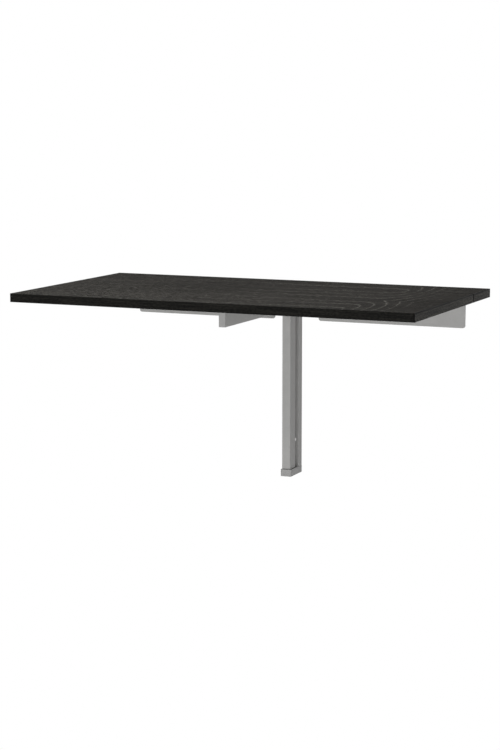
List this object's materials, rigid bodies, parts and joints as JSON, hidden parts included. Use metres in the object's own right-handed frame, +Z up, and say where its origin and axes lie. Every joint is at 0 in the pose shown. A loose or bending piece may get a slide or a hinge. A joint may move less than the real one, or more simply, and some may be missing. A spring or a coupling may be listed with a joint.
{
  "type": "wall mounted drop leaf table",
  "caption": "Wall table with a fixed shelf, a hinged drop leaf, angle brackets and a swivelling post whose arm carries the leaf.",
  "frame": {"origin": "on the wall plane, on the vertical centre line, level with the row of wall screws of the two brackets", "axes": "+X along the wall to the right seen from the room, +Y into the wall, +Z up"},
  "size_m": [0.9, 0.5, 0.438],
  "materials": {
    "dark_veneer": "dark brown stained open pore veneer, satin lacquer",
    "dark_edge_band": "dark brown stained edge veneer, satin lacquer",
    "grey_powder_coat": "light grey powder coat, fine texture",
    "grey_plastic": "light grey moulded plastic",
    "plated_steel": "bright zinc plate",
    "white_nylon": "natural nylon",
    "black_rubber": "soft black rubber"
  },
  "bodies": {
    "wall_frame": {"shelf_board": "dark_veneer", "shelf_end_bands": "dark_edge_band", "shelf_wall_band": "dark_edge_band", "shelf_seam_band": "dark_edge_band", "left_bracket": "grey_powder_coat", "right_bracket": "grey_powder_coat", "bracket_screws": "plated_steel", "wall_rail": "grey_powder_coat", "rail_cup_washers": "plated_steel", "head_bracket": "grey_powder_coat", "head_bracket_screws": "plated_steel", "upper_pivot_pin": "plated_steel", "foot_cap": "grey_plastic", "lower_pivot_pin": "plated_steel", "thrust_washer": "white_nylon", "hinge_left_shelf_plate": "plated_steel", "hinge_centre_shelf_plate": "plated_steel", "hinge_right_shelf_plate": "plated_steel", "hinge_left_pin": "plated_steel", "hinge_centre_pin": "plated_steel", "hinge_right_pin": "plated_steel", "hinge_shelf_screws": "plated_steel"},
    "post": {"post_tube": "grey_powder_coat", "upper_post_plug": "grey_plastic", "lower_post_plug": "grey_plastic", "knuckle_yoke": "grey_powder_coat", "knuckle_pin": "plated_steel"},
    "arm": {"support_arm": "grey_powder_coat", "arm_tongue": "plated_steel", "arm_rivets": "plated_steel", "arm_end_cap": "grey_plastic", "arm_pad": "black_rubber"},
    "leaf": {"leaf_board": "dark_veneer", "leaf_end_bands": "dark_edge_band", "leaf_seam_band": "dark_edge_band", "leaf_front_band": "dark_edge_band", "hinge_left_leaf_plate": "plated_steel", "hinge_centre_leaf_plate": "plated_steel", "hinge_right_leaf_plate": "plated_steel", "hinge_leaf_screws": "plated_steel"}
  },
  "joints": [
    {"name": "leaf_drop", "type": "hinge", "parent": "wall_frame", "child": "leaf", "pos_m": [0, -0.12, 0.03615], "axis": [1, 0, 0], "range_deg": [0, 90]},
    {"name": "gate_swing", "type": "hinge", "parent": "wall_frame", "child": "post", "pos_m": [0, -0.04792, 0], "axis": [0, 0, 1], "range_deg": [-90, 90]},
    {"name": "arm_fold", "type": "hinge", "parent": "post", "child": "arm", "pos_m": [0, -0.0861, 0.0146], "axis": [1, 0, 0], "range_deg": [0, 90]}
  ],
  "couplings": [
    {"joint": "arm_fold", "follows": "leaf_drop", "ratio": 1}
  ]
}
